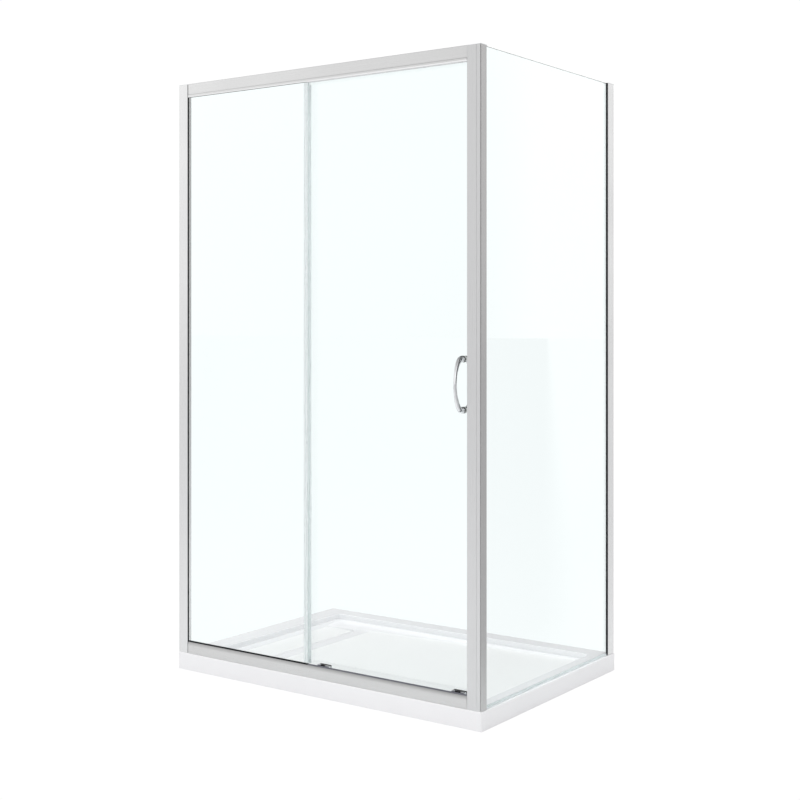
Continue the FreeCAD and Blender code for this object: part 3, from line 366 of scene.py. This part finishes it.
# painted shade: above z 0.0918 m the bottom rail's top shoulder is coloured dark (0.39), standing in for the shade on
# its rounded shoulder
M["alu_bottom"] = aluminium("satin_aluminium_bottom_rail_painted_shade", (1.2, 1700, 1700), (0.650, 0.648, 0.647), 0.30, (0.0800, 0.0918, (0.39, 0.39, 0.39)))
M["alu_hidden"] = aluminium("mill_aluminium", (900, 900, 9), (0.60, 0.60, 0.605), 0.42)
M["chrome"] = chrome("chrome_plate")
rose_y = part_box("handle_outer")[1][1]
# painted shade: the outer handle's rose is painted near-black over the 5 mm next to the pane
M["chrome_rose_painted_shade"] = chrome("chrome_plate_painted_rose_shade", (rose_y - 0.0058, rose_y - 0.0006))
M["steel"] = steel("stainless_steel")
M["cap"] = moulded("silver_grey_plastic", (0.60, 0.605, 0.62), (0.64, 0.645, 0.66), 0.42)
M["block"] = moulded("grey_nylon", (0.36, 0.37, 0.385), (0.41, 0.42, 0.435), 0.5)
M["infill_light"] = moulded("light_grey_strip", (0.70, 0.705, 0.71), (0.75, 0.755, 0.76), 0.40)
# painted shade: the bottom rail's infill strip is coloured dark slate, unlike the light grey top strip, standing in for
# the shadow in the rail's open channel
M["infill_painted_shade"] = moulded("dark_strip_painted_channel_shade", (0.115, 0.118, 0.14), (0.145, 0.148, 0.17), 0.42)
M["button"] = moulded("black_button", (0.018, 0.018, 0.02), (0.028, 0.028, 0.031), 0.28)
M["nylon"] = moulded("white_nylon", (0.74, 0.74, 0.71), (0.80, 0.80, 0.775), 0.36)
M["rubber_up"] = rubber("black_rubber_upright", (0.010, 0.010, 0.012), (0.018, 0.018, 0.020), (1500, 1500, 12))
M["rubber_along"] = rubber("black_rubber_along", (0.010, 0.010, 0.012), (0.018, 0.018, 0.020), (12, 1500, 1500))
M["seal"] = soft_clear("clear_soft_seal", (0.94, 0.958, 0.958), (0.955, 0.97, 0.97), 0.70, (1500, 1500, 10))
M["seal_along"] = soft_clear("clear_sill_seal", (0.90, 0.935, 0.935), (0.93, 0.96, 0.96), 0.72, (1500, 10, 1500))
M["glass_fixed"] = glass("fixed_pane_glass", "fixed_glass", (0.975, 0.994, 0.994), (0.80, 0.93, 0.90))
M["glass_door"] = glass("door_pane_glass", "door_glass", (0.975, 0.994, 0.994), (0.80, 0.93, 0.90))
M["glass_side"] = glass("side_pane_glass", "side_glass", (0.978, 0.996, 0.996), (0.93, 0.975, 0.965))
M["tray"] = sanitary("white_tray")
M["cover"] = sanitary("white_cover", True)

LOOK = {
    "shower_tray": "tray", "drain_cover": "cover",
    "wall_channel_left": "alu_hidden", "wall_channel_rear": "alu_hidden",
    "jamb_left": "alu_lit_copy", "jamb_rear": "alu_lit_copy", "corner_post": "alu_up", "side_profile": "alu_shaded_copy",
    "top_rail": "alu_top", "bottom_rail": "alu_bottom", "profile_caps": "cap", "screw_caps": "cap",
    "rail_end_blocks": "block", "door_stops": "rubber_up", "post_bumper_strip": "rubber_up",
    "fixed_glass": "glass_fixed", "door_glass": "glass_door", "side_glass": "glass_side",
    "fixed_glass_gasket_left": "rubber_up", "fixed_glass_gasket_top": "rubber_along", "fixed_glass_gasket_bottom": "rubber_along",
    "glass_setting_blocks": "rubber_along", "side_glass_gasket_front": "seal", "side_glass_gasket_rear": "rubber_up",
    "fixed_glass_edge_seal": "seal", "door_left_seal": "seal", "door_closing_seal": "seal", "side_glass_bottom_seal": "seal_along",
    "rail_infill_top": "infill_light", "rail_infill_bottom": "infill_painted_shade",
    "handle_outer": "chrome_rose_painted_shade", "handle_inner": "chrome", "handle_washers": "nylon", "glass_bushes": "seal",
    "top_hanger_caps": "chrome", "lower_guide_housings": "chrome", "lower_guide_back_plates": "chrome",
    "top_hanger_plates": "steel", "top_hanger_bolts": "steel", "top_wheel_axles": "steel", "handle_studs": "steel",
    "jamb_screws": "steel", "frame_screws": "steel", "lower_guide_screws": "steel",
    "lower_spring_left": "steel", "lower_spring_right": "steel",
    "release_slider_left": "button", "release_slider_right": "button",
    "lower_wheel_left": "nylon", "lower_wheel_right": "nylon",
}
for i in range(1, 5):
    LOOK["top_wheel_%d" % i] = "nylon"
    LOOK["top_bearing_%d" % i] = "steel"
for name, ob in nodes.items():
    ob.data.materials.clear()
    ob.data.materials.append(M[LOOK[name]])

# ------------------------------------------------- springs under the buttons


def coil(name, node, turns=5.0, wire=0.00028):
    """Round wire spring in the node's place, from its foot on the door up to its head under the button."""
    lo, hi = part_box(node)
    mid_x, mid_y = (lo[0] + hi[0]) / 2, (lo[1] + hi[1]) / 2
    radius = (hi[0] - lo[0]) / 2 - wire
    z0, z1 = lo[2] + wire, hi[2] - wire
    steps, sides = int(turns * 32), 14
    bm = bmesh.new()
    rings = []
    for i in range(steps + 1):
        a = 2.0 * math.pi * turns * i / steps
        out = Vector((math.cos(a), math.sin(a), 0.0))
        along = Vector((-math.sin(a) * radius, math.cos(a) * radius, (z1 - z0) / (2.0 * math.pi * turns))).normalized()
        side = out.cross(along).normalized()
        mid = Vector((mid_x, mid_y, z0 + (z1 - z0) * i / steps)) + out * radius
        rings.append([bm.verts.new(mid + (out * math.cos(b) + side * math.sin(b)) * wire) for b in (2.0 * math.pi * k / sides for k in range(sides))])
    for r0, r1 in zip(rings, rings[1:]):
        for k in range(sides):
            bm.faces.new((r0[k], r0[(k + 1) % sides], r1[(k + 1) % sides], r1[k]))
    bm.faces.new(rings[0])
    bm.faces.new(rings[-1])
    bmesh.ops.recalc_face_normals(bm, faces=bm.faces)
    mesh = bpy.data.meshes.new(name)
    bm.to_mesh(mesh)
    bm.free()
    for f in mesh.polygons:
        f.use_smooth = len(f.vertices) == 4
    ob = bpy.data.objects.new(name, mesh)
    scene.collection.objects.link(ob)
    mesh.materials.append(M["steel"])
    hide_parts(node)
    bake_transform(ob)


coil("spring_left", "lower_spring_left")
coil("spring_right", "lower_spring_right")

# -------------------------------------------------------------------- studio
floor_mesh = bpy.data.meshes.new("floor")
bm = bmesh.new()
bmesh.ops.create_grid(bm, x_segments=4, y_segments=4, size=60.0)
bm.to_mesh(floor_mesh)
bm.free()
floor = bpy.data.objects.new("floor", floor_mesh)
floor.location = (0.0, 0.0, -0.0005)
scene.collection.objects.link(floor)
t = Tree("studio_floor")
soft = t.noise(t.coords(), 0.8, 2.0, 0.5)
floor_base = t.mix(t.spread(soft, 0.3, 0.7, 0.0, 1.0), (0.68, 0.68, 0.68), (0.70, 0.70, 0.70))
fx, fy, fz = t.xyz()
aside = t.math("SUBTRACT", fy, t.math("MULTIPLY", t.math("SUBTRACT", fx, 0.6), 1.7))
dull = t.math("MULTIPLY", t.spread(fx, 0.65, 1.2, 0.0, 1.0, True), t.spread(aside, -0.1, 0.35, 1.0, 0.0, True))
seen = t.add("ShaderNodeLightPath")
fx, fy, fz = t.xyz()
mirrored_floor = t.mix(t.spread(fx, 1.5, 4.0, 0.0, 1.0, True), (0.83, 0.83, 0.83), (0.97, 0.97, 0.97))
floor_base = t.mix(seen.outputs["Is Glossy Ray"], floor_base, mirrored_floor)
dull = t.math("MULTIPLY", dull, seen.outputs["Is Glossy Ray"])
floor_base = t.mix(dull, floor_base, (0.60, 0.60, 0.60))
lit = t.principled(Base_Color=floor_base, Roughness=0.9, Specular_IOR_Level=0.1)
cove = t.add("ShaderNodeEmission")
t.link(t.mix(seen.outputs["Is Transmission Ray"], (1.0, 1.0, 1.0), (0.957, 1.0, 1.0)), cove.inputs["Color"])
cove.inputs["Strength"].default_value = 1.02
floor_mix = t.add("ShaderNodeMixShader")
mirrored = t.math("MINIMUM", seen.outputs["Glossy Depth"], 1.0)
straight = t.math("SUBTRACT", seen.outputs["Is Transmission Ray"], mirrored, clamp=True)
t.link(t.math("MAXIMUM", seen.outputs["Is Camera Ray"], straight), floor_mix.inputs[0])
t.link(lit, floor_mix.inputs[1])
t.link(cove.outputs[0], floor_mix.inputs[2])
floor_mesh.materials.append(t.output(floor_mix.outputs[0]))

w = Tree("studio", world=True)
tc = w.add("ShaderNodeTexCoord")
sep = w.add("ShaderNodeSeparateXYZ")
w.link(tc.outputs["Generated"], sep.inputs[0])
grad = w.add("ShaderNodeTexGradient", gradient_type="RADIAL")
w.link(tc.outputs["Generated"], grad.inputs["Vector"])


def grey(v):
    return (v, v, v)


# what shiny parts mirror, by azimuth: -180 degrees at 0, 0 at 0.5, +180 at 1
mirror = w.ramp(grad.outputs["Fac"], [(p, grey(v)) for p, v in (
    (0.0, 0.80), (0.083, 1.12), (0.118, 1.14), (0.131, 1.03), (0.146, 0.88), (0.160, 0.80), (0.195, 0.78), (0.250, 1.02), (0.360, 1.30), (0.395, 1.15),
    (0.425, 0.14), (0.560, 0.10), (0.600, 0.30), (0.625, 0.55), (0.650, 0.55), (0.664, 1.15), (0.690, 1.15), (0.705, 0.30), (0.730, 0.06), (0.840, 0.06), (0.880, 0.5), (1.0, 0.80))])
up = w.ramp(w.spread(sep.outputs[2], -1.0, 1.0, 0.0, 1.0), [(p, grey(v)) for p, v in ((0.0, 1.0), (0.5, 1.0), (0.61, 1.15), (0.70, 0.90), (0.82, 0.55), (1.0, 0.5))])
bg_mirror = w.add("ShaderNodeBackground")
w.link(mirror, bg_mirror.inputs["Color"])
w.link(up, bg_mirror.inputs["Strength"])
# what lights the rest: a little stronger from the front left and from above
dot = w.add("ShaderNodeVectorMath", operation="DOT_PRODUCT")
w.link(tc.outputs["Generated"], dot.inputs[0])
dot.inputs[1].default_value = (-0.35, -0.52, 0.95)
bg_fill = w.add("ShaderNodeBackground")
bg_fill.inputs["Color"].default_value = (0.99, 0.992, 1.0, 1.0)
w.link(w.spread(dot.outputs["Value"], -1.0, 1.0, 0.60, 1.20), bg_fill.inputs["Strength"])
lp = w.add("ShaderNodeLightPath")
bg_view = w.add("ShaderNodeBackground")
w.link(w.mix(lp.outputs["Is Transmission Ray"], (1.0, 1.0, 1.0), (0.957, 1.0, 1.0)), bg_view.inputs["Color"])
bg_view.inputs["Strength"].default_value = 1.02
m1 = w.add("ShaderNodeMixShader")
# a mirrored view that then passes a pane stays a mirrored view
through = w.math("MULTIPLY", lp.outputs["Is Transmission Ray"], w.math("MINIMUM", lp.outputs["Glossy Depth"], 1.0))
w.link(w.math("MAXIMUM", lp.outputs["Is Glossy Ray"], through), m1.inputs[0])
w.link(bg_fill.outputs[0], m1.inputs[1])
w.link(bg_mirror.outputs[0], m1.inputs[2])
m2 = w.add("ShaderNodeMixShader")
w.link(w.math("MAXIMUM", lp.outputs["Is Camera Ray"], w.math("SUBTRACT", lp.outputs["Is Transmission Ray"], through)), m2.inputs[0])
w.link(m1.outputs[0], m2.inputs[1])
w.link(bg_view.outputs[0], m2.inputs[2])
scene.world = w.output(m2.outputs[0])


def softbox(name, loc, target, size_x, size_y, watts):
    data = bpy.data.lights.new(name, "AREA")
    data.shape = "RECTANGLE"
    data.size, data.size_y, data.energy = size_x, size_y, watts
    ob = bpy.data.objects.new(name, data)
    ob.location = loc
    ob.rotation_euler = (Vector(target) - Vector(loc)).to_track_quat("-Z", "Y").to_euler()
    ob.visible_glossy = False
    ob.visible_camera = False
    ob.visible_transmission = False
    scene.collection.objects.link(ob)
    return ob


softbox("key_light", (-1.6, -4.4, 3.0), (0.0, 0.0, 0.9), 2.6, 2.0, 5.0)
softbox("top_light", (0.2, -0.2, 4.6), (0.0, 0.0, 0.0), 3.0, 3.0, 50.0)
